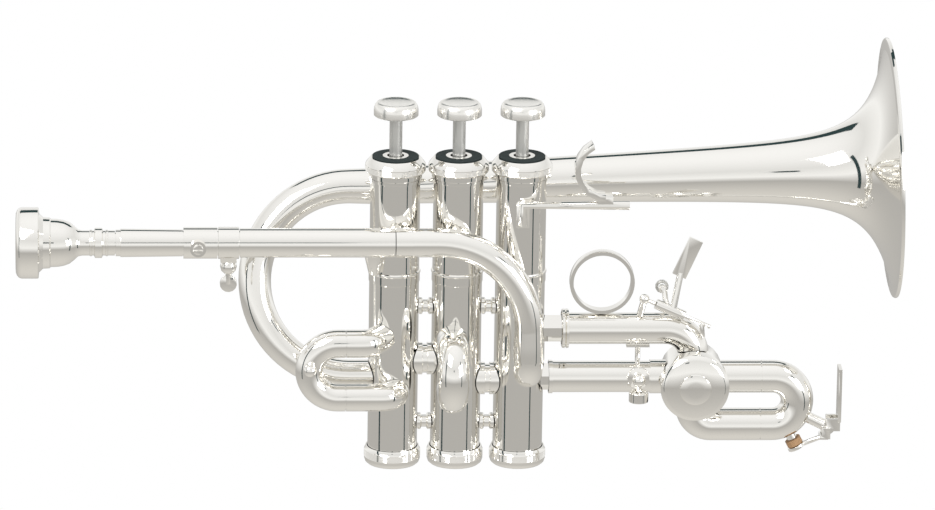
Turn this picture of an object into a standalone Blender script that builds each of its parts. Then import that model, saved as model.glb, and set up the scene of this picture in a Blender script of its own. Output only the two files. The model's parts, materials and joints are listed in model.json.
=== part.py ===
"""Piccolo trumpet with three piston valves and a rotary fourth valve.

All sizes are in millimetres. The frame is the middle valve's axis: +X runs to the
bell, +Z up the valves, and -Y is the side with the leadpipe. Z = 0 is the height
at which the hand holds the valve casings.
"""
import bpy
import bmesh
from math import acos, cos, pi, radians, sin, sqrt, tan
from mathutils import Matrix, Vector

MM = 0.001
GAP = 0.3

SEAM_SIDES = 16
TUBE_SIDES = 10
ROD_SIDES = 8

# Valve casings
VALVE_PITCH = 24.4
CASING_R = 9.65
CASING_WALL = 0.8
CASING_FOOT_Z = -59.9
CASING_NECK_Z = 54.4
CASING_TOP_Z = 58.0
CASING_NECK_R = 9.5
BEAD_Z = 16.2

# Caps, stems and buttons
TOP_CAP_TOP_Z = 62.4
TOP_CAP_R = 11.8
BOTTOM_CAP_Z = -61.7
BOTTOM_CAP_R = 11.0
BOTTOM_CAP_HEIGHT = 7.2
STEM_R = 2.5
BUTTON_TOP_Z = 84.4
BUTTON_R = 8.6

# Pistons
PISTON_STROKE = 14.0
PISTON_FOOT_Z = -45.6
PISTON_TOP_Z = 13.0
PISTON_WALL = 0.8
BARREL_R = 7.2
BARREL_WALL = 0.9
BARREL_TOP_Z = 56.5
GUIDE_Z = 13.6
GUIDE_HEIGHT = 2.4
GUIDE_WIDTH = 4.0
TUNNEL_R = 3.8
TUNNEL_WALL = 0.6
SPRING_R = 5.2
SPRING_WIRE_R = 0.5
SPRING_TURNS = 4

# Ports in the casings, heights at rest
PORT_R = 4.4
PORT_1_2_Z = -19.25
PORT_2_3_Z = -27.4
BELL_PORT_Z = -26.0
FIRST_UPPER_Z = -8.5
FIRST_LOWER_Z = -30.3
SECOND_UPPER_Z = -8.9
SECOND_LOWER_Z = -29.2
CROOK_PORT_Z = -21.8
THIRD_UPPER_Z = -7.1
THIRD_LOWER_Z = -26.8

# Leadpipe line
PIPE_Y = -17.0
PIPE_Z = 32.9
MAIN_TUBE_R = 5.65
MAIN_TUBE_WALL = 0.5
LEADPIPE_WALL = 0.6
LEADPIPE_END_X = -60.0
RECEIVER_X = -132.2
SLEEVE_X = -106.2
SLEEVE_LENGTH = 13.0
COLLAR_LENGTH = 8.0
MAIN_TUBE_END_X = -24.9
CROOK_BEND_X = -8.2
CROOK_BEND_R = 35.5
CROOK_R = 5.6
ELBOW_BEND_R = 7.3

# Mouthpiece
MOUTHPIECE_REACH = 38.3
RIM_X = RECEIVER_X - MOUTHPIECE_REACH
RIM_R = 13.7
CUP_R = 7.9
CUP_DEPTH = 8.5
THROAT_R = 1.85

# Bell
BELL_Y = 19.0
BELL_RIM_X = 169.5
BELL_RIM_Z = 52.3
BELL_RIM_R = 50.5
BELL_THROAT_R = 12.1
BELL_TAPER = 0.0256
BELL_FLARE = 23.3
BELL_SLOPE = radians(2.1)
BELL_WALL = 0.8
BELL_BOW_X = -41.5
BELL_TAIL_R = 5.9

# Slides
SLIDE_WALL = 0.4
FIRST_Y = -15.0
FIRST_R = 5.45
FIRST_SEAM_X = -43.45
SECOND_X = -2.0
SECOND_R = 5.95
SECOND_SEAM_Y = -15.0
THIRD_R = 6.1
THIRD_SEAM_X = 40.85
THIRD_BEND_X = 81.4
ROTOR_X = 92.3
ROTOR_Z = -26.8
ROTOR_CASING_R = 12.1
ROTOR_R = 9.3
FOURTH_R = 6.35
FOURTH_LOWER_Z = -46.36
FOURTH_SEAM_X = 118.85
KEY_HINGE_X = 145.7
KEY_HINGE_Z = -47.45
LOCK_X = 70.7
STOP_PIN_R = 5.0
STOP_ANGLE = radians(111)

SILVER = (0.86, 0.85, 0.82)
CORK = (0.42, 0.25, 0.13)
STEEL = (0.62, 0.62, 0.6)

X_AXIS = Vector((1, 0, 0))
Y_AXIS = Vector((0, 1, 0))
Z_AXIS = Vector((0, 0, 1))
VALVE_X = {1: -VALVE_PITCH, 2: 0.0, 3: VALVE_PITCH}


def clear_scene():
    for old in list(bpy.data.objects):
        bpy.data.objects.remove(old, do_unlink=True)


def material(name, colour, roughness, metallic):
    made = bpy.data.materials.get(name)
    if made is None:
        made = bpy.data.materials.new(name)
        made.use_nodes = True
        shader = made.node_tree.nodes["Principled BSDF"]
        shader.inputs["Base Color"].default_value = (*colour, 1.0)
        shader.inputs["Roughness"].default_value = roughness
        shader.inputs["Metallic"].default_value = metallic
    return made


def plate():
    return material("silver_plate", SILVER, 0.12, 1.0)


def satin():
    return material("satin_steel", STEEL, 0.35, 1.0)


def cork():
    return material("cork", CORK, 0.85, 0.0)


def finish(bm, name, look, smooth_angle=35.0):
    """Turn a bmesh in millimetres into a named object in metres."""
    bmesh.ops.remove_doubles(bm, verts=bm.verts, dist=1e-4)
    bmesh.ops.scale(bm, vec=(MM, MM, MM), verts=bm.verts)
    bmesh.ops.recalc_face_normals(bm, faces=bm.faces)
    mesh = bpy.data.meshes.new(name)
    bm.to_mesh(mesh)
    bm.free()
    mesh.shade_smooth()
    mesh.set_sharp_from_angle(angle=radians(smooth_angle))
    made = bpy.data.objects.new(name, mesh)
    bpy.context.scene.collection.objects.link(made)
    if look is not None:
        mesh.materials.append(look)
    return made


def ring_at(bm, centre, direction, side, radius, sides):
    """One ring of vertices square to direction, the first towards side."""
    other = direction.cross(side).normalized()
    points = []
    for step in range(sides):
        turn = 2 * pi * step / sides
        offset = side * (radius * cos(turn)) + other * (radius * sin(turn))
        points.append(bm.verts.new(centre + offset))
    return points


def bridge(bm, first, second):
    count = len(first)
    for step in range(count):
        after = (step + 1) % count
        corners = (first[step], first[after], second[after], second[step])
        bm.faces.new(corners)


def sides_along(path):
    """Carry one side vector along a path of (point, direction) without twist."""
    direction = path[0][1]
    side = direction.orthogonal().normalized()
    if abs(direction.dot(Z_AXIS)) < 0.9:
        side = (Z_AXIS - direction * Z_AXIS.dot(direction)).normalized()
    carried = []
    for _, heading in path:
        turn = direction.rotation_difference(heading)
        side = (turn @ side).normalized()
        direction = heading
        carried.append(side)
    return carried


def tube(name, path, outer, inner=None, sides=TUBE_SIDES, look=None):
    """Sweep a tube along path, a list of (point, direction).

    outer and inner are lists of (index in path, radius), in order. Without
    inner the tube is a solid rod.
    """
    bm = bmesh.new()
    carried = sides_along(path)

    def rings(stations):
        made = []
        for index, radius in stations:
            point, heading = path[index]
            made.append(ring_at(bm, point, heading, carried[index], radius, sides))
        return made

    skin = rings(outer)
    if inner:
        skin += reversed(rings(inner))
        skin.append(skin[0])
    else:
        bm.faces.new(list(reversed(skin[0])))
        bm.faces.new(skin[-1])
    for first, second in zip(skin, skin[1:]):
        bridge(bm, first, second)
    return finish(bm, name, look or plate())


def pipe(name, path, radius, bore=None, sides=TUBE_SIDES, look=None):
    """A tube of one outer radius and one bore along a path."""
    every = range(len(path))
    outer = [(index, radius) for index in every]
    inner = [(index, bore) for index in every] if bore else None
    return tube(name, path, outer, inner, sides, look)


def run(start, end):
    """The two ends of a straight piece of path."""
    heading = (Vector(end) - Vector(start)).normalized()
    return [(Vector(start), heading), (Vector(end), heading)]


def bend(centre, start, axis, angle, steps):
    """An arc of path from start round centre about axis."""
    centre = Vector(centre)
    arm = Vector(start) - centre
    path = []
    for step in range(steps + 1):
        turned = Matrix.Rotation(angle * step / steps, 3, Vector(axis)) @ arm
        heading = Vector(axis).cross(turned).normalized()
        path.append((centre + turned, heading))
    return path


def join_paths(*pieces):
    """One path from pieces, without points that come twice."""
    path = []
    for piece in pieces:
        for point, heading in piece:
            if path and (path[-1][0] - point).length < 1e-3:
                continue
            path.append((point, heading))
    return path


def turned(name, profile, base, axis, sides=TUBE_SIDES, look=None, closed=True):
    """Turn a profile of (radius, height) round axis through base.

    A closed profile is a ring's section. An open one starts and ends on the axis.
    """
    axis = Vector(axis).normalized()
    base = Vector(base)
    side = axis.orthogonal().normalized()
    bm = bmesh.new()
    points = []
    for radius, height in profile:
        points.append(bm.verts.new(base + axis * height + side * radius))
    edges = [bm.edges.new(pair) for pair in zip(points, points[1:])]
    if closed:
        edges.append(bm.edges.new((points[-1], points[0])))
    bmesh.ops.spin(bm, geom=points + edges, cent=base, axis=axis,
                   angle=2 * pi, steps=sides)
    return finish(bm, name, look or plate())


def disc(name, base, axis, radius, height, sides=TUBE_SIDES, look=None):
    """A plain cylinder from base along axis."""
    profile = [(0, 0), (radius, 0), (radius, height), (0, height)]
    return turned(name, profile, base, axis, sides, look, closed=False)


def ball(name, centre, radius, sides=12, rings=6, look=None):
    profile = []
    for step in range(rings + 1):
        turn = pi * step / rings
        profile.append((radius * sin(turn), -radius * cos(turn)))
    profile[0] = (0, -radius)
    profile[-1] = (0, radius)
    return turned(name, profile, centre, Z_AXIS, sides, look, closed=False)


def block(name, centre, size, turn=None, look=None):
    """A box of the given full size, turned about its centre."""
    bm = bmesh.new()
    bmesh.ops.create_cube(bm, size=1.0)
    bmesh.ops.scale(bm, vec=size, verts=bm.verts)
    placing = Matrix.Translation(Vector(centre))
    if turn is not None:
        placing = placing @ turn
    bmesh.ops.transform(bm, matrix=placing, verts=bm.verts)
    return finish(bm, name, look or plate())


def slab(name, outline, low, high, look=None):
    """Extrude an outline of (x, z) points from y = low to y = high."""
    bm = bmesh.new()
    points = [bm.verts.new((x, low, z)) for x, z in outline]
    face = bm.faces.new(points)
    grown = bmesh.ops.extrude_face_region(bm, geom=[face])
    moved = [item for item in grown["geom"] if isinstance(item, bmesh.types.BMVert)]
    bmesh.ops.translate(bm, vec=(0, high - low, 0), verts=moved)
    return finish(bm, name, look or plate())


def as_helper(made):
    made.hide_render = True
    made.display_type = "WIRE"
    return made


def combine(target, others, operation):
    for other in others:
        as_helper(other)
        step = target.modifiers.new(other.name, "BOOLEAN")
        step.operation = operation
        step.solver = "EXACT"
        step.object = other
    return target


def fuse(target, *others):
    return combine(target, others, "UNION")


def cut(target, *others):
    return combine(target, others, "DIFFERENCE")


def casing_clearance(name, valve):
    """A cutter that keeps a piece a gap away from a valve casing."""
    base = (VALVE_X[valve], 0, BOTTOM_CAP_Z - 10)
    return disc(name, base, Z_AXIS, CASING_R + GAP, 160, SEAM_SIDES)


def arm_between(name, start, end, radius, sides=ROD_SIDES, look=None):
    return pipe(name, run(start, end), radius, sides=sides, look=look)


def port_cutter(name, valve, heading, z, offset_x=0.0, reach=14.0):
    """A bore from inside the casing outwards along heading."""
    start = Vector((VALVE_X[valve] + offset_x, 0, z))
    heading = Vector(heading).normalized()
    return disc(name, start + heading * 4, heading, PORT_R, reach, 8)


FRONT_LEFT = Vector((-sin(radians(33)), -cos(radians(33)), 0))
PORTS = {
    1: [(X_AXIS, PORT_1_2_Z, 0), (-X_AXIS, BELL_PORT_Z, 0),
        (FRONT_LEFT, FIRST_UPPER_Z, 0), (-Y_AXIS, FIRST_LOWER_Z, 0.6)],
    2: [(-X_AXIS, PORT_1_2_Z, 0), (X_AXIS, PORT_2_3_Z, 0),
        (-Y_AXIS, SECOND_UPPER_Z, SECOND_X), (-Y_AXIS, SECOND_LOWER_Z, SECOND_X)],
    3: [(-X_AXIS, PORT_2_3_Z, 0), (-Y_AXIS, CROOK_PORT_Z, 2.9),
        (X_AXIS, THIRD_UPPER_Z, 0), (X_AXIS, THIRD_LOWER_Z, 0)],
}
# Passages through the pistons, each from (heading, height) to (heading, height)
TUNNELS = {
    1: [(X_AXIS, -19.25, -X_AXIS, -26.0), (X_AXIS, -5.25, -Y_AXIS, -16.3),
        (FRONT_LEFT, 5.1, -X_AXIS, -12.0)],
    2: [(X_AXIS, -27.4, -X_AXIS, -19.25), (X_AXIS, -13.4, -Y_AXIS, -15.2),
        (-Y_AXIS, 5.1, -X_AXIS, -5.25)],
    3: [(-Y_AXIS, -21.8, -X_AXIS, -27.4), (-Y_AXIS, -7.8, X_AXIS, 6.9),
        (X_AXIS, -12.8, -X_AXIS, -13.4)],
}


def valve_casing(valve):
    inside = CASING_R - CASING_WALL
    profile = [
        (inside, CASING_FOOT_Z), (CASING_R, CASING_FOOT_Z), (CASING_R, BEAD_Z - 3.5),
        (9.9, BEAD_Z - 3.2), (9.9, BEAD_Z), (10.15, BEAD_Z + 0.3), (10.15, BEAD_Z + 0.9),
        (CASING_R, BEAD_Z + 1.2), (CASING_R, CASING_NECK_Z - 1.1),
        (10.0, CASING_NECK_Z - 1.0), (10.0, CASING_NECK_Z),
        (CASING_NECK_R, CASING_NECK_Z), (CASING_NECK_R, CASING_TOP_Z),
        (inside, CASING_TOP_Z),
    ]
    made = turned(f"valve_casing_{valve}", profile, (VALVE_X[valve], 0, 0), Z_AXIS,
                  SEAM_SIDES)
    if valve == 2:
        for end, z in (("upper", SECOND_UPPER_Z), ("lower", SECOND_LOWER_Z)):
            stub = disc(f"second_stub_{end}", (SECOND_X, -9.3, z), -Y_AXIS, SECOND_R,
                        -SECOND_SEAM_Y - 9.3)
            fuse(made, stub)
            bore = disc(f"second_bore_{end}", (SECOND_X, -7, z), -Y_AXIS,
                        SECOND_R - SLIDE_WALL, 20)
            cut(made, bore)
    for number, (heading, z, offset) in enumerate(PORTS[valve]):
        if valve == 2 and number > 1:
            continue
        cut(made, port_cutter(f"port_{valve}_{number}", valve, heading, z, offset))


def top_cap(valve):
    inside = CASING_NECK_R + GAP
    top = TOP_CAP_TOP_Z
    profile = [
        (STEM_R + 0.8, top - 1.5), (STEM_R + 0.8, top + 0.6), (5.0, top + 0.6),
        (5.0, top), (9.6, top), (11.5, top - 2.3), (TOP_CAP_R, top - 3.8),
        (11.6, top - 5.3), (10.3, top - 5.8), (10.3, CASING_NECK_Z + GAP),
        (inside, CASING_NECK_Z + GAP), (inside, top - 1.5),
    ]
    turned(f"top_cap_{valve}", profile, (VALVE_X[valve], 0, 0), Z_AXIS, SEAM_SIDES)


def bottom_cap(valve):
    inside = CASING_R + GAP
    foot = BOTTOM_CAP_Z
    floor = CASING_FOOT_Z - GAP
    profile = [
        (0, foot), (8.7, foot), (10.4, foot + 1.0), (BOTTOM_CAP_R, foot + 3.0),
        (BOTTOM_CAP_R - 0.1, foot + 5.6), (inside + 0.45, foot + BOTTOM_CAP_HEIGHT),
        (inside, foot + BOTTOM_CAP_HEIGHT), (inside, floor), (0, floor),
    ]
    turned(f"bottom_cap_{valve}", profile, (VALVE_X[valve], 0, 0), Z_AXIS, SEAM_SIDES,
           closed=False)


def piston(valve):
    x = VALVE_X[valve]
    radius = CASING_R - CASING_WALL - 0.35
    inside = radius - PISTON_WALL
    barrel_in = BARREL_R - BARREL_WALL
    profile = [
        (0, BARREL_TOP_Z - 1), (barrel_in, BARREL_TOP_Z - 1), (barrel_in, PISTON_TOP_Z),
        (1.5, PISTON_TOP_Z), (1.5, PISTON_TOP_Z - 1), (inside, PISTON_TOP_Z - 1),
        (inside, PISTON_FOOT_Z), (radius, PISTON_FOOT_Z), (radius, PISTON_TOP_Z),
        (BARREL_R, PISTON_TOP_Z), (BARREL_R, BARREL_TOP_Z), (STEM_R, BARREL_TOP_Z),
        (STEM_R, BUTTON_TOP_Z - 3.4), (0, BUTTON_TOP_Z - 3.4),
    ]
    made = turned(f"piston_{valve}", profile, (x, 0, 0), Z_AXIS, 18, satin(),
                  closed=False)
    slot_height = GUIDE_HEIGHT + PISTON_STROKE + 1.0
    slot = block(f"guide_slot_{valve}", (x, 0, PISTON_TOP_Z + 0.3 + slot_height / 2),
                 (30, GUIDE_WIDTH + 0.8, slot_height))
    cut(made, slot)
    for number, (first, first_z, last, last_z) in enumerate(TUNNELS[valve]):
        middle = Vector((x, 0, 0))
        start = middle + first * (radius - 0.5) + Z_AXIS * first_z
        end = middle + last * (radius - 0.5) + Z_AXIS * last_z
        wall = arm_between(f"tunnel_wall_{valve}_{number}", start, end,
                           TUNNEL_R + TUNNEL_WALL, 10)
        fuse(made, wall)
        limit = tube(f"piston_room_{valve}_{number}",
                     run((x, 0, PISTON_FOOT_Z - 8), (x, 0, PISTON_TOP_Z + 8)),
                     [(0, radius + 8), (1, radius + 8)], [(0, radius), (1, radius)], 18)
        cut(wall, limit)
    for number, (first, first_z, last, last_z) in enumerate(TUNNELS[valve]):
        middle = Vector((x, 0, 0))
        start = middle + first * radius + Z_AXIS * first_z
        end = middle + last * radius + Z_AXIS * last_z
        along = (end - start).normalized() * 4
        cut(made, arm_between(f"tunnel_{valve}_{number}", start - along, end + along,
                              TUNNEL_R, 10))


def valve_guide(valve):
    reach = CASING_R - CASING_WALL - GAP
    length = 2 * sqrt(reach ** 2 - (GUIDE_WIDTH / 2) ** 2)
    block(f"valve_guide_{valve}", (VALVE_X[valve], 0, GUIDE_Z + GUIDE_HEIGHT / 2),
          (length, GUIDE_WIDTH, GUIDE_HEIGHT), look=satin())


def valve_spring(valve):
    """A compression spring from the guide up to the top of the piston's barrel."""
    low = GUIDE_Z + GUIDE_HEIGHT + GAP + SPRING_WIRE_R
    high = BARREL_TOP_Z - 1 - GAP - SPRING_WIRE_R
    curve = bpy.data.curves.new(f"valve_spring_{valve}", "CURVE")
    curve.dimensions = "3D"
    curve.bevel_depth = SPRING_WIRE_R * MM
    curve.bevel_resolution = 1
    curve.use_fill_caps = True
    spline = curve.splines.new("POLY")
    count = SPRING_TURNS * 8 + 1
    spline.points.add(count - 1)
    for step in range(count):
        share = step / (count - 1)
        turn = 2 * pi * SPRING_TURNS * share
        x = VALVE_X[valve] + SPRING_R * cos(turn)
        z = low + (high - low) * share
        spline.points[step].co = (x * MM, SPRING_R * sin(turn) * MM, z * MM, 1)
    made = bpy.data.objects.new(curve.name, curve)
    curve.materials.append(satin())
    bpy.context.scene.collection.objects.link(made)
    print(f"{curve.name}: gap {(high - low) / SPRING_TURNS - 2 * SPRING_WIRE_R:.2f} mm")


def finger_button(valve):
    top = BUTTON_TOP_Z
    hole = STEM_R + GAP
    socket = top - 3.4 + GAP
    profile = [
        (0, socket), (hole, socket), (hole, top - 5.4),
        (BUTTON_R - 0.4, top - 5.4), (BUTTON_R, top - 5.2), (BUTTON_R, top - 3.1),
        (BUTTON_R - 0.2, top - 1.6), (7.5, top - 0.1), (6.8, top), (5.5, top - 0.3),
        (0, top - 0.4),
    ]
    turned(f"finger_button_{valve}", profile, (VALVE_X[valve], 0, 0), Z_AXIS, 20,
           closed=False)


def crossover(first, z):
    """The short tube between two casings, with a flange at each end."""
    name = f"crossover_{first}_{first + 1}"
    start, end = VALVE_X[first] + 6.5, VALVE_X[first + 1] - 6.5
    path = run((start, 0, z), (end, 0, z))
    middle = (start + end) / 2
    for x in (middle - 0.9, middle + 0.9):
        path.append((Vector((x, 0, z)), X_AXIS))
    made = tube(name, path, [(0, 6.3), (2, 6.3), (2, 5.65), (3, 5.65), (3, 6.3), (1, 6.3)],
                [(0, 4.3), (1, 4.3)])
    for valve in (first, first + 1):
        cut(made, casing_clearance(f"{name}_seat_{valve}", valve))


def casing_brace(place, first, z):
    name = f"{place}_brace_{first}_{first + 1}"
    middle = (VALVE_X[first] + VALVE_X[first + 1]) / 2
    profile = [(0, -5), (3.3, -5), (3.3, -1.2), (2.4, -0.7), (2.4, 0.7), (3.3, 1.2),
               (3.3, 5), (0, 5)]
    made = turned(name, profile, (middle, 0, z), X_AXIS, 12, closed=False)
    for valve in (first, first + 1):
        cut(made, casing_clearance(f"{name}_seat_{valve}", valve))


def valves():
    for valve in (1, 2, 3):
        valve_casing(valve)
        top_cap(valve)
        bottom_cap(valve)
        piston(valve)
        valve_guide(valve)
        valve_spring(valve)
        finger_button(valve)
    crossover(1, PORT_1_2_Z)
    crossover(2, PORT_2_3_Z)
    for first in (1, 2):
        casing_brace("upper", first, 2.2)
        casing_brace("lower", first, -44.8)


# --- tubes ---
def bell_radius(distance):
    """Outer radius at a distance back from the rim."""
    flare = BELL_RIM_R - BELL_THROAT_R
    return (BELL_THROAT_R - BELL_TAPER * distance
            + flare * (BELL_FLARE / (BELL_FLARE + distance)) ** 3)


def bell():
    slope = Vector((-cos(BELL_SLOPE), 0, -sin(BELL_SLOPE)))
    rim = Vector((BELL_RIM_X, BELL_Y, BELL_RIM_Z))
    path, outer, inner = [], [], []
    for distance in (0, 2, 5, 9, 15, 25, 45, 90, 150, 204):
        path.append((rim + slope * distance, slope))
        outer.append((len(path) - 1, bell_radius(distance)))
        inner.append((len(path) - 1, bell_radius(distance + BELL_WALL) - BELL_WALL))
    top = Vector((BELL_BOW_X, BELL_Y, 44.8))
    foot = Vector((BELL_BOW_X, 0, BELL_PORT_Z))
    across = (top - foot).normalized()
    bow = bend((top + foot) / 2, top, X_AXIS.cross(across), pi, 9)
    bow.append((Vector((VALVE_X[1] - 6, 0, BELL_PORT_Z)), X_AXIS))
    for step, station in enumerate(bow):
        path.append(station)
        radius = 6.7 - (6.7 - BELL_TAIL_R) * step / len(bow)
        outer.append((len(path) - 1, radius))
        inner.append((len(path) - 1, radius - BELL_WALL))
    made = tube("bell", path, outer, inner, 18)
    cut(made, casing_clearance("bell_seat", 1))


def mouthpiece():
    rim = RIM_X
    cup_floor = rim + CUP_DEPTH
    profile = [
        (THROAT_R, cup_floor + 0.5), (5.5, cup_floor - 2), (CUP_R, rim + 3),
        (CUP_R + 0.4, rim + 0.8), (9.8, rim), (12.2, rim + 0.3), (RIM_R, rim + 2),
        (RIM_R, rim + 8.7), (11.3, rim + 9), (9.75, rim + 10.7), (9.0, rim + 17.5),
        (7.0, rim + 22), (4.9, rim + 24.3), (4.85, RECEIVER_X - 8.5),
        (5.8, RECEIVER_X - 8.1), (5.8, RECEIVER_X - 5.1), (4.85, RECEIVER_X - 4.7),
        (4.85, RECEIVER_X - GAP),
        (4.2, RECEIVER_X - GAP), (3.9, RECEIVER_X + 18), (3.4, RECEIVER_X + 18),
    ]
    turned("mouthpiece", profile, (0, PIPE_Y, PIPE_Z), X_AXIS, 16)


def along_pipe(name, stations, bore):
    """A straight tube on the leadpipe line from (x, radius) stations."""
    profile = [(radius, x) for x, radius in stations]
    profile += [(bore, stations[-1][0]), (bore, stations[0][0])]
    return turned(name, profile, (0, PIPE_Y, PIPE_Z), X_AXIS, TUBE_SIDES)


def leadpipe_line():
    bore = MAIN_TUBE_R - MAIN_TUBE_WALL
    slide_r = bore - GAP
    pipe_bore = slide_r - LEADPIPE_WALL
    profile = [
        (4.5, RECEIVER_X), (5.45, RECEIVER_X), (5.15, SLEEVE_X - GAP),
        (slide_r, SLEEVE_X - GAP), (slide_r, LEADPIPE_END_X),
        (pipe_bore, LEADPIPE_END_X), (4.3, RECEIVER_X + 19),
    ]
    turned("leadpipe", profile, (0, PIPE_Y, PIPE_Z), X_AXIS, TUBE_SIDES)
    sleeve_end = SLEEVE_X + SLEEVE_LENGTH
    collar_end = sleeve_end + GAP + COLLAR_LENGTH
    sleeve = along_pipe("clamp_sleeve", [(SLEEVE_X, 6.05), (sleeve_end, 6.05)], bore)
    clamp_screw(sleeve)
    collar = along_pipe("lyre_collar", [(sleeve_end + GAP, 6.2), (collar_end, 6.2)], bore)
    lyre_screw(collar, sleeve_end + GAP + COLLAR_LENGTH / 2)
    leadpipe_brace()
    along_pipe("main_tube", [(collar_end + GAP, MAIN_TUBE_R),
                             (MAIN_TUBE_END_X, MAIN_TUBE_R)], bore)


def clamp_screw(sleeve):
    """A boss on the sleeve's near side, with a slotted screw in its recess."""
    place = Vector((SLEEVE_X + 5.5, PIPE_Y, PIPE_Z))
    floor = place - Y_AXIS * 6.6
    fuse(sleeve, disc("clamp_boss", place - Y_AXIS * 5.4, -Y_AXIS, 3.2, 3.4, 12))
    cut(sleeve, disc("clamp_recess", floor, -Y_AXIS, 2.0 + GAP, 6, 12))
    screw = disc("clamp_screw", floor - Y_AXIS * GAP, -Y_AXIS, 2.0, 2.6, 12)
    cut(screw, block("clamp_slot", floor - Y_AXIS * (GAP + 2.6), (6, 1.4, 0.7)))


def lyre_screw(collar, x):
    """A ball under the collar with a wing screw that turns upright in it."""
    fuse(collar, block("lyre_plate", (x, PIPE_Y, PIPE_Z - 6.3), (6.2, 5, 2.0)),
         ball("lyre_ball", (x, PIPE_Y, PIPE_Z - 9.3), 3.3))
    cut(collar, disc("lyre_hole", (x, PIPE_Y, PIPE_Z - 16), Z_AXIS, 1.2 + GAP, 7.5, 12))
    screw = disc("lyre_screw", (x, PIPE_Y, PIPE_Z - 16.4), Z_AXIS, 1.2, 7.6, 10)
    fuse(screw, disc("lyre_wing", (x, PIPE_Y - 0.8, PIPE_Z - 16.3), Y_AXIS, 3.3, 1.6, 14))


def leadpipe_brace():
    """A tapered gusset between the first casing and the main tube."""
    made = turned("leadpipe_brace", [(0, 0), (2.2, 0), (4.4, 9), (4.4, 13.6), (0, 13.6)],
                  (VALVE_X[1] - 8.1, -8.5, BEAD_Z + 1.7), Z_AXIS, 12, closed=False)
    cut(made, casing_clearance("brace_seat", 1),
        disc("brace_pipe_seat", (-60, PIPE_Y, PIPE_Z), X_AXIS, MAIN_TUBE_R + GAP, 60, 20))


def crook():
    start = (MAIN_TUBE_END_X + GAP, PIPE_Y, PIPE_Z)
    top = (CROOK_BEND_X, PIPE_Y, PIPE_Z)
    turn_z = PIPE_Z - CROOK_BEND_R
    low_z = CROOK_PORT_Z + ELBOW_BEND_R
    x = CROOK_BEND_X + CROOK_BEND_R
    path = join_paths(
        run(start, top),
        bend((CROOK_BEND_X, PIPE_Y, turn_z), top, Y_AXIS, pi / 2, 6),
        bend((x, PIPE_Y + ELBOW_BEND_R, low_z), (x, PIPE_Y, low_z), X_AXIS, pi / 2, 4),
        run((x, PIPE_Y + ELBOW_BEND_R, CROOK_PORT_Z), (x, -5, CROOK_PORT_Z)))
    made = pipe("crook", path, CROOK_R, CROOK_R - MAIN_TUBE_WALL)
    cut(made, casing_clearance("crook_seat", 3))


def slide_bow(name, upper, lower, outward, seam_reach, leg, radius):
    """A U of tube with thinner inner legs that run back into the outer legs."""
    upper, lower, outward = Vector(upper), Vector(lower), Vector(outward)
    down = (lower - upper).normalized()
    width = (lower - upper).length
    bow = bend((upper + lower) / 2 + outward * seam_reach,
               upper + outward * seam_reach, outward.cross(down), pi, 6)
    seam_up, seam_low = (upper, outward), (lower, -outward)
    path = [(upper - outward * leg, outward), seam_up, *bow, seam_low,
            (lower - outward * leg, -outward)]
    last = len(path) - 1
    thin = radius - SLIDE_WALL - GAP
    outer = [(0, thin), (1, thin)] + [(step, radius) for step in range(1, last)]
    outer += [(last - 1, thin), (last, thin)]
    inner = [(step, thin - SLIDE_WALL) for step in range(last + 1)]
    return tube(name, path, outer, inner)


def slides():
    bore = FIRST_R - SLIDE_WALL
    seam = FIRST_SEAM_X + GAP
    bow = slide_bow("first_slide_bow", (FIRST_SEAM_X, FIRST_Y, FIRST_UPPER_Z),
                    (FIRST_SEAM_X, FIRST_Y, FIRST_LOWER_Z), -X_AXIS, 3.0, 5.0, FIRST_R)
    fuse(bow, ball("pull_knob", (FIRST_SEAM_X - 13.8, FIRST_Y - 7.2, -17.0), 2.6))
    for place, corner, z in (("upper", -34.1, FIRST_UPPER_Z), ("lower", -23.8, FIRST_LOWER_Z)):
        end = Vector((VALVE_X[1] + (0.6 if place == "lower" else 0), 0, z))
        corner = Vector((corner, FIRST_Y, z))
        inward = (end - corner).normalized()
        half = acos(inward.x) / 2
        reach = 6 * tan(half)
        arc = bend(corner + Vector((-reach, 6, 0)), corner - X_AXIS * reach, Z_AXIS,
                   2 * half, 4)
        path = join_paths(run((seam, FIRST_Y, z), arc[0][0]), arc,
                          run(arc[-1][0], end - inward * 4))
        made = pipe(f"first_{place}_leg", path, FIRST_R, bore)
        cut(made, casing_clearance(f"first_{place}_seat", 1))
    slide_bow("second_slide_bow", (SECOND_X, SECOND_SEAM_Y - GAP, SECOND_UPPER_Z),
              (SECOND_X, SECOND_SEAM_Y - GAP, SECOND_LOWER_Z), -Y_AXIS, 2.5, 4.8, SECOND_R)


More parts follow.
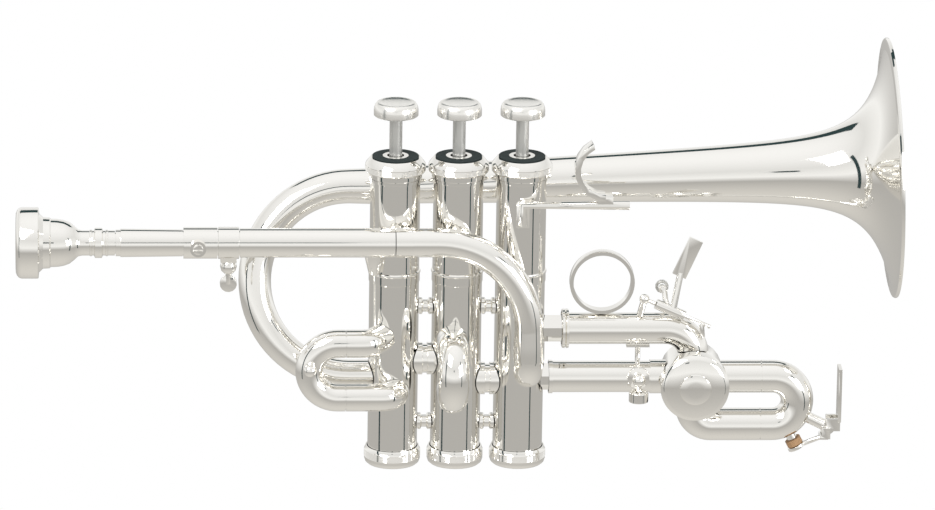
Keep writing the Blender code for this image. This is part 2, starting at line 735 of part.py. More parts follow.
def third_slide():
    room = disc("rotor_room", (ROTOR_X, -30, ROTOR_Z), Y_AXIS, ROTOR_CASING_R + GAP, 60, 24)
    inner_r = THIRD_R - SLIDE_WALL - GAP
    for place, z, end in (("upper", THIRD_UPPER_Z, 75), ("lower", THIRD_LOWER_Z, 66)):
        leg = pipe(f"third_{place}_leg", run((VALVE_X[3] + 7, 0, z), (end, 0, z)),
                   inner_r, inner_r - SLIDE_WALL)
        cut(leg, casing_clearance(f"third_{place}_seat", 3))
    reach = ROTOR_X - THIRD_BEND_X
    elbow = bend((THIRD_BEND_X, 0, THIRD_UPPER_Z - reach),
                 (THIRD_BEND_X, 0, THIRD_UPPER_Z), Y_AXIS, pi / 2, 5)
    upper = pipe("third_upper_tube",
                 join_paths(run((THIRD_SEAM_X, 0, THIRD_UPPER_Z),
                                (THIRD_BEND_X, 0, THIRD_UPPER_Z)), elbow),
                 THIRD_R, THIRD_R - SLIDE_WALL)
    lower = pipe("third_lower_tube", run((36.1, 0, THIRD_LOWER_Z),
                                         (ROTOR_X - 8, 0, THIRD_LOWER_Z)),
                 THIRD_R, THIRD_R - SLIDE_WALL)
    leg_bore = FOURTH_R - SLIDE_WALL
    right = pipe("fourth_upper_leg", run((ROTOR_X + 8, 0, ROTOR_Z),
                                         (FOURTH_SEAM_X, 0, ROTOR_Z)), FOURTH_R, leg_bore)
    start = Vector((ROTOR_X, 0, FOURTH_LOWER_Z + 7.4))
    turn = bend(start + X_AXIS * 7.4, start, -Y_AXIS, pi / 2, 5)
    foot = pipe("fourth_lower_leg",
                join_paths(turn, run(turn[-1][0], (FOURTH_SEAM_X, 0, FOURTH_LOWER_Z))),
                FOURTH_R, leg_bore)
    for made in (upper, lower, right, foot):
        cutter = room if made is upper else room.copy()
        if made is not upper:
            bpy.context.scene.collection.objects.link(cutter)
        cut(made, cutter)
    bow = slide_bow("fourth_slide_bow", (FOURTH_SEAM_X + GAP, 0, ROTOR_Z),
                    (FOURTH_SEAM_X + GAP, 0, FOURTH_LOWER_Z), X_AXIS, 4.5, 12, FOURTH_R)
    water_key(bow)
    slide_lock()
    lever_action()
    rotary_valve()
    band = [(11.2, -2.3), (12.6, -2.3), (12.6, 2.3), (11.2, 2.3)]
    seat_z = THIRD_UPPER_Z + THIRD_R + GAP
    ring = turned("finger_ring", band, (56.3, 0, seat_z + 12.6), Y_AXIS, 24)
    fuse(ring, block("ring_saddle", (56.3, 0, seat_z + 0.4), (20, 4, 0.8)))


def water_key(bow):
    """A sprung key at the lowest bow that lifts a cork off its nipple."""
    centre = Vector((FOURTH_SEAM_X + GAP + 4.5, 0, (ROTOR_Z + FOURTH_LOWER_Z) / 2))
    out = Vector((cos(radians(62)), 0, -sin(radians(62))))
    hinge = Vector((KEY_HINGE_X, 0, KEY_HINGE_Z))
    surface = (ROTOR_Z - FOURTH_LOWER_Z) / 2 + FOURTH_R
    fuse(bow, arm_between("nipple", centre + out * (surface - 0.6),
                          centre + out * (surface + 1.5), 2.0))
    post = (hinge - centre).normalized()
    fuse(bow, arm_between("key_post", centre + post * (surface - 0.6),
                          hinge - post * 1.9, 2.2))
    barrel = [(1.2, -2), (2.6, -2), (2.6, 2), (1.2, 2)]
    fuse(bow, turned("key_barrel", barrel, hinge, Y_AXIS, 12))
    cut(bow, arm_between("nipple_hole", centre + out * (surface - 4),
                         centre + out * (surface + 4), 1.2))
    seat = surface + 1.5 + GAP
    disc("water_key_cork", centre + out * seat, out, 3.2, 2.4, 14, cork())
    cup = centre + out * (seat + 2.4 + GAP)
    key = disc("water_key", cup, out, 3.6, 1.3, 14)
    fuse(key, arm_between("key_arm", cup + out * 0.8, hinge + Vector((-1.2, 0, -3.7)), 1.0))
    fuse(key, block("key_bridge", hinge + Vector((-1.5, 0, -3.7)), (3.2, 6.6, 1.4)))
    fuse(key, arm_between("key_pin", hinge - Y_AXIS * 4, hinge + Y_AXIS * 4, 0.9))
    for side in (-1, 1):
        ear = hinge + Y_AXIS * 2.8 * side
        fuse(key, block(f"key_ear_{side}", ear + Vector((-0.8, 0, -1.9)), (3.4, 1, 4.6)),
             block(f"key_cheek_{side}", ear + Vector((2.0, 0, 1.6)), (5.2, 1, 5.0)))
    fuse(key, block("key_paddle", hinge + Vector((4.2, 0, 13.6)), (1.3, 7.6, 21.6)))


def slide_lock():
    """The strut between the third slide's tubes, with its ball, stud and thumb nut."""
    x = LOCK_X
    top = THIRD_UPPER_Z - THIRD_R - GAP
    low = THIRD_LOWER_Z + THIRD_R + GAP
    made = arm_between("slide_lock_rod", (x, 0, top), (x, 0, low), 1.0)
    fuse(made, block("lock_foot", (x, 0, top - 0.4), (9, 4, 0.8)))
    band_r = THIRD_R + GAP + 0.9
    axis = Vector((x, 0, THIRD_LOWER_Z))
    band = bend(axis, axis + Z_AXIS * band_r, X_AXIS, pi / 2, 5)
    fuse(made, pipe("lock_band", band, 0.8, sides=8))
    collar = axis + Vector((0, -THIRD_R - GAP, 1.8))
    knob = axis + Vector((0, -10.5, 1.8))
    fuse(made, disc("lock_collar", collar, -Y_AXIS, 4.3, 1.6, 14), ball("lock_ball", knob, 2.7),
         arm_between("lock_stud", knob, knob - Z_AXIS * 9.0, 1.0))
    ring = [(1.3, -8.6), (3.8, -8.6), (3.8, -4.8), (1.3, -4.8)]
    turned("lock_nut", ring, knob, Z_AXIS, 16)


def lever_action():
    """The rotary valve's finger lever on its rod, and the link down to the rotor."""
    start = Vector((72.6, -4, 6.1))
    end = Vector((98.4, -4, -5.3))
    along = (end - start).normalized()
    rod = arm_between("hinge_rod", start, end, 0.8)
    fuse(rod, arm_between("hinge_post", start, (71, -3, -0.9), 1.3),
         ball("hinge_knob", start, 2.0, 10, 5))
    fuse(rod, arm_between("hinge_strut", start + along * 24.5, (95.5, -4, -9.4), 1.0))
    barrel = [(1.1, 5), (2.0, 5), (2.0, 17), (1.1, 17)]
    lever = turned("fourth_lever", barrel, start, along, 12)
    rise = Vector((84, -4, start.z - (84 - start.x) * 0.442))
    fuse(lever, arm_between("lever_stalk", rise + Z_AXIS * 1.6, (86.4, -4.4, 17), 1.3))
    lean = Matrix.Rotation(radians(23.7), 4, "Y")
    fuse(lever, block("lever_touch", (89, -4.6, 23), (5.5, 1.3, 16), lean))
    knuckle = Vector((80.7, 11.2, 5.5))
    fuse(lever, arm_between("lever_arm_root", (81, -3.3, 3.9), (81, 3.2, 6.5), 1.1),
         arm_between("lever_arm", (81, 2.6, 6.6), knuckle, 1.0),
         ball("lever_ball", knuckle, 1.8, 10, 5),
         arm_between("lever_pin", knuckle, knuckle + Y_AXIS * 4.4, 0.7))
    top = knuckle + Y_AXIS * 2.9
    foot = Vector((ROTOR_X + STOP_PIN_R * cos(STOP_ANGLE), top.y,
                   ROTOR_Z + STOP_PIN_R * sin(STOP_ANGLE)))
    down = (foot - top).normalized()
    link = turned("lever_link", [(1.6, -0.7), (2.6, -0.7), (2.6, 0.7), (1.6, 0.7)],
                  top, Y_AXIS, 12, satin())
    eye = [(2.6, -0.7), (3.6, -0.7), (3.6, 0.7), (2.6, 0.7)]
    fuse(link, turned("link_eye", eye, foot, Y_AXIS, 14),
         arm_between("link_rod", top + down * 2.1, foot - down * 3.1, 0.6))


def rotary_valve():
    centre = (ROTOR_X, 0, ROTOR_Z)
    room = ROTOR_R + GAP
    casing = [(room, -9.5), (ROTOR_CASING_R, -9.5), (ROTOR_CASING_R, 8.5), (2.2, 8.5),
              (2.2, 7.0), (room, 7.0)]
    made = turned("rotor_casing", casing, centre, Y_AXIS, 24)
    for number, heading in enumerate((X_AXIS, -X_AXIS, Z_AXIS, -Z_AXIS)):
        cut(made, disc(f"rotor_port_{number}", Vector(centre) + heading * 7, heading,
                       3.4, 10, 10))
    plug = [(0, -13.5), (1.6, -13.5), (1.6, -8.5), (ROTOR_R, -8.5), (ROTOR_R, 6.5),
            (1.9, 6.5), (1.9, 11.5), (0, 11.5)]
    rotor = turned("rotor", plug, centre, Y_AXIS, 20, satin(), closed=False)
    arm = Vector((cos(STOP_ANGLE), 0, sin(STOP_ANGLE)))
    lean = Matrix.Rotation(pi / 2 - STOP_ANGLE, 4, "Y")
    middle = Vector(centre) + Y_AXIS * 10.6 + arm * STOP_PIN_R / 2
    pin = Vector(centre) + Y_AXIS * 10.6 + arm * STOP_PIN_R
    fuse(rotor, block("stop_arm", middle, (3, 1.5, STOP_PIN_R + 2.6), lean),
         arm_between("stop_pin", pin, pin + Y_AXIS * 5, 0.8))
    slant = Vector((1, 0, 1)).normalized()
    for number, sign in enumerate((1, -1)):
        away = Vector((-slant.z, 0, slant.x)) * 6.2 * sign
        middle = Vector(centre) + away
        cut(rotor, arm_between(f"rotor_way_{number}", middle - slant * 12,
                               middle + slant * 12, 2.9, 8))
    cap = [(0, -18.0), (4.5, -17.8), (6.2, -17.0), (11.6, -16.4), (13.4, -14.6),
           (13.4, -9.8), (2.0, -9.8), (2.0, -14.0), (0, -14.0)]
    turned("rotor_cap", cap, centre, Y_AXIS, 24, closed=False)


def pinky_hook():
    z = 46.5
    low = Vector((VALVE_X[3], -12.2, 38.3))
    path = [(low, Z_AXIS), (low + Z_AXIS * (z - 38.3), Vector((1, 0, 1)).normalized()),
            (Vector((65.5, -12.2, z)), X_AXIS)]
    made = pipe("pinky_hook", path, 1.85, sides=8)
    strip = bend((56, 0, 61), (56, 0, 49), Y_AXIS, pi * 0.85, 8)
    outline = [(p.x - 56, p.z) for p, _ in strip]
    inner = [(x * 0.82, 61 + (z - 61) * 0.82) for x, z in reversed(outline)]
    outline = [(x + 56, z) for x, z in outline + inner]
    fuse(made, slab("hook_strip", outline, -15.5, -8.5))
    fuse(made, block("hook_foot", (56, -12.2, 49), (6, 4, 3)))
    fuse(made, block("hook_saddle", (VALVE_X[3], -11, 42), (5, 3, 9)))
    cut(made, casing_clearance("hook_seat", 3))


def main():
    clear_scene()
    valves()
    bell()
    mouthpiece()
    leadpipe_line()
    crook()
    slides()
    third_slide()
    pinky_hook()


main()
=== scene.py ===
"""Looks, light and camera for the piccolo trumpet."""
import json
from math import acos, cos, pi, radians, sin, tan

import bmesh
import bpy
from mathutils import Matrix, Vector


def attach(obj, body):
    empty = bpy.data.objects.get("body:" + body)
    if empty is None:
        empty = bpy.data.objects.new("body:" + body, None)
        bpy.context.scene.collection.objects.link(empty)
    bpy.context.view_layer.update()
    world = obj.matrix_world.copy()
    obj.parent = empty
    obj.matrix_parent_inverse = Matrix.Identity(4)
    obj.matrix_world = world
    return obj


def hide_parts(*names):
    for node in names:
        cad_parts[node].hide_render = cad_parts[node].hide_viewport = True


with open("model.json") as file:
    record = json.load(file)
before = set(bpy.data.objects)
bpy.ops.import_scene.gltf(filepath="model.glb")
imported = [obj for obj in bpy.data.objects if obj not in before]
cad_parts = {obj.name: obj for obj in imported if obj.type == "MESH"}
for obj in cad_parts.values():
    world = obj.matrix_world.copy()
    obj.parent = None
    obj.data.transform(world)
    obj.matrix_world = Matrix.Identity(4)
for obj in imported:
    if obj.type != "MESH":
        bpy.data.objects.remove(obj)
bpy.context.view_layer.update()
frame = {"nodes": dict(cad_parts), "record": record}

# Camera at the photograph's angle, in metres
YAW = radians(3.0)
ELEVATION = radians(17.3)
ROLL = radians(0.88)
DISTANCE = 3.0
PICTURE_WIDTH = 0.3618
LOOK_AT = Vector((0.0039, 0.0, 0.0227))

# Finishes, a painted reflection for the cap tops, and the dark cards that the metal
# reflects
SILVER = (0.93, 0.915, 0.88)
SATIN = (0.70, 0.70, 0.68)
CORK = (0.36, 0.20, 0.10)
# The black of the cap-top washers is a painted reflection: it stands for the dark
# reflection in the polished cap tops
PAINTED_REFLECTION_DARK = (0.012, 0.022, 0.022)
DARK_CARD = (0.02, 0.05, 0.055)
SATIN_PARTS = ("piston", "valve_guide", "valve_spring")
PALE_PARTS = ("finger_button",)
POLISH_SCALE = 60.0

# How finely round pieces are made, and which edges stay sharp
FINE_SIDES = 56
SHARP_ANGLE = radians(32)
SOFT_ANGLE = radians(50)
SOFT_EDGE = 0.2

# Sizes and places of the CAD model, in millimetres
MM = 0.001
GAP = 0.3
X_AXIS = Vector((1, 0, 0))
Y_AXIS = Vector((0, 1, 0))
Z_AXIS = Vector((0, 0, 1))

VALVE_X = {1: -24.4, 2: 0.0, 3: 24.4}
CASING_R = 9.65
CASING_BORE_R = 8.85
CASING_FOOT = -59.9
CASING_TOP = 58.0
CAP_TOP = 62.4
BUTTON_TOP = 84.0

BELL_Y = 19.0
BELL_RIM = Vector((169.5, BELL_Y, 52.3))
BELL_SLOPE = radians(2.1)
BELL_RIM_R = 50.5
BELL_THROAT_R = 12.1
BELL_TAPER = 0.0256
BELL_FLARE = 23.3
BELL_LENGTH = 204.0
BELL_WALL = 0.8
BELL_STEPS = 56
BOW_TOP = Vector((-41.5, BELL_Y, 44.8))
BOW_FOOT = Vector((-41.5, 0, -26.0))
BOW_R = 6.7

PIPE_Y = -17.0
PIPE_Z = 32.9
PIPE = (0, PIPE_Y, PIPE_Z)
PIPE_R = 5.15
MOUTH_RIM_X = -170.5
CROOK_BEND_X = -8.2
CROOK_BEND_R = 35.5
CROOK_R = 5.6
CROOK_DROP = -14.5
CROOK_TURN_R = 7.3

FIRST_SLIDE_Y = -15.0
FIRST_SLIDE_Z = {"upper": -8.5, "lower": -30.3}
FIRST_SLIDE_R = 5.45
SECOND_SLIDE_X = -2.0
SECOND_SLIDE_Z = {"upper": -8.9, "lower": -29.2}
SECOND_SLIDE_R = 5.95
THIRD_UPPER_Z = -7.1
THIRD_TUBE_R = 6.1
THIRD_ELBOW_R = 10.9
THIRD_ELBOW_X = 81.4
ROTOR_X = 92.3
ROTOR_Z = -26.8
ROTOR_ROOM_R = 12.4
FOURTH_LOWER_Z = -46.36
FOURTH_LEG_R = 6.35
FOURTH_LEG_END = 118.85
FOURTH_TURN_R = 7.4
FOURTH_REACH = 4.5
SLIDE_WALL = 0.4


def metal(name, colour, roughness, wear=0.03):
    """Plated metal whose polish varies a little over the surface."""
    made = bpy.data.materials.new(name)
    made.use_nodes = True
    nodes, links = made.node_tree.nodes, made.node_tree.links
    shader = nodes["Principled BSDF"]
    shader.inputs["Base Color"].default_value = (*colour, 1.0)
    shader.inputs["Metallic"].default_value = 1.0
    place = nodes.new("ShaderNodeTexCoord")
    noise = nodes.new("ShaderNodeTexNoise")
    noise.inputs["Scale"].default_value = POLISH_SCALE
    polish = nodes.new("ShaderNodeMapRange")
    polish.inputs["To Min"].default_value = roughness
    polish.inputs["To Max"].default_value = roughness + wear
    links.new(place.outputs["Object"], noise.inputs["Vector"])
    links.new(noise.outputs["Fac"], polish.inputs["Value"])
    links.new(polish.outputs["Result"], shader.inputs["Roughness"])
    return made


def matt(name, colour, roughness):
    """Cork, or the dark washers that paint a reflection on the cap tops, which are no
    metal.
    """
    made = metal(name, colour, roughness, 0.1)
    made.node_tree.nodes["Principled BSDF"].inputs["Metallic"].default_value = 0.0


def look_of(node):
    """The material's name for a CAD node."""
    if node == "water_key_cork":
        return "cork"
    if node.startswith(SATIN_PARTS) or node in ("rotor", "lever_link"):
        return "satin_steel"
    return "worn_button_plate" if node.startswith(PALE_PARTS) else "polished_silver_plate"


def body_of(node):
    """The body that holds a node."""
    for body, nodes in frame["record"]["behaviour"]["bodies"].items():
        if node in nodes:
            return body


def dress():
    """Make the materials, and give one to each CAD node."""
    metal("polished_silver_plate", SILVER, 0.05)
    metal("satin_steel", SATIN, 0.28, 0.08)
    metal("worn_button_plate", SILVER, 0.2, 0.06)
    matt("cork", CORK, 0.8)
    # Black for the cap-top washers, a painted reflection of the dark seen in the cap tops
    matt("black_felt", PAINTED_REFLECTION_DARK, 0.85)
    for name in frame["nodes"]:
        for slot in bpy.data.objects[name].material_slots:
            slot.material = bpy.data.materials[look_of(name)]


def smooth_object(bm, name, look, body):
    """Make a bmesh in millimetres a smooth object in metres that rides on a body."""
    bmesh.ops.remove_doubles(bm, verts=bm.verts, dist=1e-4)
    bmesh.ops.scale(bm, vec=(MM, MM, MM), verts=bm.verts)
    bmesh.ops.recalc_face_normals(bm, faces=bm.faces)
    mesh = bpy.data.meshes.new(name)
    bm.to_mesh(mesh)
    bm.free()
    mesh.shade_smooth()
    mesh.set_sharp_from_angle(angle=SHARP_ANGLE)
    mesh.materials.append(bpy.data.materials[look])
    made = bpy.data.objects.new(name, mesh)
    bpy.context.scene.collection.objects.link(made)
    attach(made, body)
    return made


def stand_for(node, bm):
    """Put a smooth piece in the place of a CAD node."""
    made = smooth_object(bm, f"{node}_surface", look_of(node), body_of(node))
    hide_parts(node)
    return made


def sides_along(headings):
    """Carry one side vector along a path's headings without twist."""
    direction = headings[0]
    side = direction.orthogonal().normalized()
    carried = []
    for heading in headings:
        side = (direction.rotation_difference(heading) @ side).normalized()
        direction = heading
        carried.append(side)
    return carried


def section(point, heading, side, radius):
    """The place of one round section, square to its heading."""
    other = heading.cross(side)
    place = Matrix((side * radius, other * radius, heading)).transposed().to_4x4()
    place.translation = point
    return place


def sweep(node, stations):
    """A round skin through stations of (point, heading, radius), and back to the first.

    It is extruded upwards by one for each station, and then laid along the path."""
    sides = sides_along([heading for _, heading, _ in stations])
    places = [section(point, heading, side, radius)
              for (point, heading, radius), side in zip(stations, sides)]
    bm = bmesh.new()
    bmesh.ops.create_circle(bm, segments=FINE_SIDES, radius=1.0)
    edges = bm.edges[:]
    for _ in stations:
        grown = bmesh.ops.extrude_edge_only(bm, edges=edges)["geom"]
        edges = [part for part in grown if isinstance(part, bmesh.types.BMEdge)]
        ring = [part for part in grown if isinstance(part, bmesh.types.BMVert)]
        bmesh.ops.translate(bm, vec=Z_AXIS, verts=ring)
    for vert in bm.verts:
        place = places[round(vert.co.z) % len(places)]
        vert.co = place @ Vector((vert.co.x, vert.co.y, 0))
    return stand_for(node, bm)


def walled(node, path, outer, wall):
    """A tube along a path, with its outer radii and one wall thickness."""
    there = [(point, heading, radius) for (point, heading), radius in zip(path, outer)]
    back = [(point, heading, radius - wall) for point, heading, radius in there]
    return sweep(node, there + back[::-1])


def turned(profile, base, axis):
    """Turn a profile of (radius, height); it is closed unless it starts on the axis."""
    base = Vector(base)
    side = axis.orthogonal().normalized()
    bm = bmesh.new()
    points = [bm.verts.new(base + axis * height + side * radius)
              for radius, height in profile]
    edges = [bm.edges.new(pair) for pair in zip(points, points[1:])]
    if profile[0][0] > 0:
        edges.append(bm.edges.new((points[-1], points[0])))
    bmesh.ops.spin(bm, geom=points + edges, cent=base, axis=axis, angle=2 * pi,
                   steps=FINE_SIDES, use_merge=True)
    return bm


def lathe(node, profile, base, axis):
    """Put a turned piece in the place of a CAD node."""
    return stand_for(node, turned(profile, base, axis))


def rod(name, start, end, radius, body):
    """A small round rod on a body, without a CAD node of its own."""
    start, end = Vector(start), Vector(end)
    bm = bmesh.new()
    turn = (end - start).to_track_quat("Z", "Y").to_matrix().to_4x4()
    place = Matrix.Translation((start + end) / 2) @ turn
    bmesh.ops.create_cone(bm, cap_ends=True, segments=40, radius1=radius,
                          radius2=radius, depth=(end - start).length, matrix=place)
    return smooth_object(bm, name, "polished_silver_plate", body)


def knob(name, centre, radius, body):
    """A small ball on a body."""
    bm = bmesh.new()
    bmesh.ops.create_uvsphere(bm, u_segments=40, v_segments=24, radius=radius,
                              matrix=Matrix.Translation(centre))
    return smooth_object(bm, name, "polished_silver_plate", body)


def run(start, end):
    """The two ends of a straight run, with its heading."""
    start, end = Vector(start), Vector(end)
    heading = (end - start).normalized()
    return [(start, heading), (end, heading)]


def bend(centre, start, axis, angle, steps):
    """Points and headings along an arc."""
    centre, axis = Vector(centre), Vector(axis)
    arm = Vector(start) - centre
    path = []
    for step in range(steps + 1):
        swung = Matrix.Rotation(angle * step / steps, 3, axis) @ arm
        path.append((centre + swung, axis.cross(swung).normalized()))
    return path


def cut_round(piece, base, axis, radius, height):
    """Cut a cylinder's room out of a piece."""
    bm = bmesh.new()
    turn = axis.to_track_quat("Z", "Y").to_matrix().to_4x4()
    place = Matrix.Translation((Vector(base) + axis * height / 2) * MM) @ turn
    bmesh.ops.create_cone(bm, cap_ends=True, segments=64, radius1=radius * MM,
                          radius2=radius * MM, depth=height * MM, matrix=place)
    mesh = bpy.data.meshes.new("room")
    bm.to_mesh(mesh)
    bm.free()
    room = bpy.data.objects.new("room", mesh)
    bpy.context.scene.collection.objects.link(room)
    step = piece.modifiers.new("room", "BOOLEAN")
    step.operation = "DIFFERENCE"
    step.object = room
    bpy.context.view_layer.objects.active = piece
    with bpy.context.temp_override(object=piece, active_object=piece):
        bpy.ops.object.modifier_apply(modifier=step.name)
    bpy.data.objects.remove(room, do_unlink=True)
    return piece


def clear_casing(piece, valve):
    """Cut the room of a valve casing out of a piece."""
    return cut_round(piece, (VALVE_X[valve], 0, -70), Z_AXIS, CASING_R + GAP, 160)


def bell_radius(distance):
    """The bell's outer radius at a distance behind its rim."""
    flare = BELL_RIM_R - BELL_THROAT_R
    return (BELL_THROAT_R - BELL_TAPER * distance
            + flare * (BELL_FLARE / (BELL_FLARE + distance)) ** 3)


def bell():
    """The bell, its rolled rim and its bow, as one thin wall."""
    slope = Vector((-cos(BELL_SLOPE), 0, -sin(BELL_SLOPE)))
    across = (BOW_TOP - BOW_FOOT).normalized()
    bow = bend((BOW_TOP + BOW_FOOT) / 2, BOW_TOP, X_AXIS.cross(across), pi, 40)
    bow.append((Vector((VALVE_X[1] - 6, 0, BOW_FOOT.z)), X_AXIS))
    rolled_rim = [(0.2, 49.2), (-0.5, 50.0), (-0.4, 50.6), (0.3, 50.8), (0.9, 50.4),
                  (1.1, 49.6)]
    outer = [(BELL_RIM + slope * distance, slope, radius)
             for distance, radius in rolled_rim]
    inner = []
    for step in range(BELL_STEPS + 1):
        share = (step / BELL_STEPS) ** 2.2
        distance = 1.0 + (BELL_LENGTH - 1.0) * share
        outer.append((BELL_RIM + slope * distance, slope, bell_radius(distance)))
        distance = BELL_LENGTH * share
        radius = bell_radius(distance + BELL_WALL) - BELL_WALL
        inner.append((BELL_RIM + slope * distance, slope, radius))
    for step, (point, heading) in enumerate(bow):
        radius = BOW_R - BELL_WALL * step / len(bow)
        outer.append((point, heading, radius))
        inner.append((point, heading, radius - BELL_WALL))
    clear_casing(sweep("bell", outer + inner[::-1]), 1)


def mouthpiece():
    """Cup, rim, the rings of the stem, and the shank with its bore."""
    outline = [
        (1.85, 9), (3.6, 7.9), (5.5, 6.5), (7.0, 4.9), (7.9, 3), (8.3, 0.9), (9.0, 0.2),
        (10.0, 0), (11.4, 0.1), (12.5, 0.5), (13.3, 1.2), (13.7, 2.2), (13.7, 8.5),
        (13.4, 8.8), (11.3, 9), (9.9, 10.5), (9.75, 13), (9.3, 13.4), (9.2, 16),
        (8.8, 18.4), (8.0, 20.6), (6.6, 22.4), (5.2, 23.9), (4.85, 25.5), (4.85, 28.3),
        (5.1, 28.5), (5.1, 29.1), (4.85, 29.3), (4.85, 30), (5.8, 30.4), (5.8, 33),
        (4.85, 33.4), (4.85, 34.4), (5.1, 34.6), (5.1, 35.2), (4.85, 35.4), (4.85, 38),
        (4.2, 38), (3.9, 56.3), (3.4, 56.3),
    ]
    profile = [(radius, MOUTH_RIM_X + distance) for radius, distance in outline]
    lathe("mouthpiece", profile, PIPE, X_AXIS)


def pipe_line():
    """The leadpipe with its receiver, and the main tube it slides in."""
    receiver = [(4.5, -132.2), (5.1, -132.2), (5.1, -130.4), (5.45, -130.3),
                (PIPE_R, -106.5), (4.85, -106.5), (4.85, -60), (4.25, -60), (4.3, -113.2)]
    lathe("leadpipe", receiver, PIPE, X_AXIS)
    main_tube = [(PIPE_R, -84.6), (5.65, -84.6), (5.65, -24.9), (PIPE_R, -24.9)]
    lathe("main_tube", main_tube, PIPE, X_AXIS)


def crook():
    """The tube that turns down from the main tube and into the third casing."""
    x = CROOK_BEND_X + CROOK_BEND_R
    ferrule_end = (-17.7, PIPE_Y, PIPE_Z)
    ferrule = run((-24.6, PIPE_Y, PIPE_Z), ferrule_end)
    straight = run(ferrule_end, (CROOK_BEND_X - 0.1, PIPE_Y, PIPE_Z))
    arch = bend((CROOK_BEND_X, PIPE_Y, PIPE_Z - CROOK_BEND_R),
                (CROOK_BEND_X, PIPE_Y, PIPE_Z), Y_AXIS, pi / 2, 40)
    collar = run((x, PIPE_Y, -7.7), (x, PIPE_Y, CROOK_DROP + 0.1))
    turn = bend((x, PIPE_Y + CROOK_TURN_R, CROOK_DROP), (x, PIPE_Y, CROOK_DROP), X_AXIS,
                pi / 2, 16)
    turn.append((Vector((x, -5, CROOK_DROP - CROOK_TURN_R)), Y_AXIS))
    outer = [5.8] * len(ferrule) + [CROOK_R] * (len(straight) + len(arch))
    outer += [6.0] * len(collar) + [CROOK_R] * len(turn)
    path = ferrule + straight + arch + collar + turn
    clear_casing(walled("crook", path, outer, 0.7), 3)


def u_bow(node, upper, lower, outward, reach, leg, radius):
    """A U-shaped bow with a thinner leg at each end, which its tubes hold."""
    upper, lower, outward = Vector(upper), Vector(lower), Vector(outward)
    down = (lower - upper).normalized()
    start = upper + outward * reach
    arch = bend((upper + lower) / 2 + outward * reach, start, outward.cross(down), pi, 32)
    path = [(upper - outward * leg, outward), (upper, outward), (upper, outward), *arch,
            (lower, -outward), (lower, -outward), (lower - outward * leg, -outward)]
    thin = radius - 0.7
    outer = [thin, thin] + [radius] * (len(path) - 4) + [thin, thin]
    there = [(point, heading, size) for (point, heading), size in zip(path, outer)]
    back = [(point, heading, thin - 0.4) for point, heading in path]
    return sweep(node, there + back[::-1])


def second_slide():
    """The second slide's bow, which faces the viewer."""
    upper, lower = ((SECOND_SLIDE_X, -15.3, z) for z in SECOND_SLIDE_Z.values())
    u_bow("second_slide_bow", upper, lower, -Y_AXIS, 2.5, 4.8, SECOND_SLIDE_R)


def first_slide_legs():
    """The two tubes that turn from the first casing towards the first slide."""
    for place, corner, end_x in (("upper", -34.1, VALVE_X[1]), ("lower", -23.8, -23.8)):
        z = FIRST_SLIDE_Z[place]
        inward = Vector((end_x - corner, -FIRST_SLIDE_Y, 0)).normalized()
        half = acos(inward.x) / 2
        turn_r = 6
        start_x = corner - turn_r * tan(half)
        path = [(Vector((-43.15, FIRST_SLIDE_Y, z)), X_AXIS)]
        path += bend((start_x, FIRST_SLIDE_Y + turn_r, z), (start_x, FIRST_SLIDE_Y, z),
                     Z_AXIS, 2 * half, 16)
        path.append((Vector((end_x, 0, z)) - inward * 4, inward))
        leg = walled(f"first_{place}_leg", path, [FIRST_SLIDE_R] * len(path), SLIDE_WALL)
        clear_casing(leg, 1)


def straight_tube(node, stations, z, wall, elbow=()):
    """A tube along X with stations of (x, radius), which an elbow may carry on."""
    path = [(Vector((x, 0, z)), X_AXIS) for x, _ in stations] + list(elbow)
    outer = [radius for _, radius in stations] + [stations[-1][1]] * len(elbow)
    return walled(node, path, outer, wall)


def rotor_tubes():
    """The third slide's moving tubes and the fourth slide's legs, cut at the rotor."""
    elbow = bend((THIRD_ELBOW_X, 0, THIRD_UPPER_Z - THIRD_ELBOW_R),
                 (THIRD_ELBOW_X, 0, THIRD_UPPER_Z), Y_AXIS, pi / 2, 20)
    beads = [(40.85, 7.0), (41.1, 7.6), (42.0, 7.7), (42.3, 7.0), (42.6, 7.7),
             (43.5, 7.6), (43.8, THIRD_TUBE_R)]
    upper = straight_tube("third_upper_tube", beads, THIRD_UPPER_Z, SLIDE_WALL, elbow)
    steps = [(36.1, 6.5), (37.6, 6.5), (37.6, THIRD_TUBE_R), (75.6, THIRD_TUBE_R),
             (75.6, 6.6), (ROTOR_X - 8, 6.6)]
    lower = straight_tube("third_lower_tube", steps, ROTOR_Z, 0.5)
    ends = [(ROTOR_X + 8, FOURTH_LEG_R), (FOURTH_LEG_END, FOURTH_LEG_R)]
    fourth_upper = straight_tube("fourth_upper_leg", ends, ROTOR_Z, SLIDE_WALL)
    turn_z = FOURTH_LOWER_Z + FOURTH_TURN_R
    path = bend((ROTOR_X + FOURTH_TURN_R, 0, turn_z), (ROTOR_X, 0, turn_z), -Y_AXIS,
                pi / 2, 16)
    path.append((Vector((FOURTH_LEG_END, 0, FOURTH_LOWER_Z)), X_AXIS))
    fourth_lower = walled("fourth_lower_leg", path, [FOURTH_LEG_R] * len(path),
                          SLIDE_WALL)
    for tube in (upper, lower, fourth_upper, fourth_lower):
        cut_round(tube, (ROTOR_X, -30, ROTOR_Z), Y_AXIS, ROTOR_ROOM_R, 60)


def ridges(radius, height, depth, count):
    """Fine ridges a quarter of a millimetre apart, upwards."""
    return [(radius + depth * (step % 2), height + 0.25 * step) for step in range(count)]


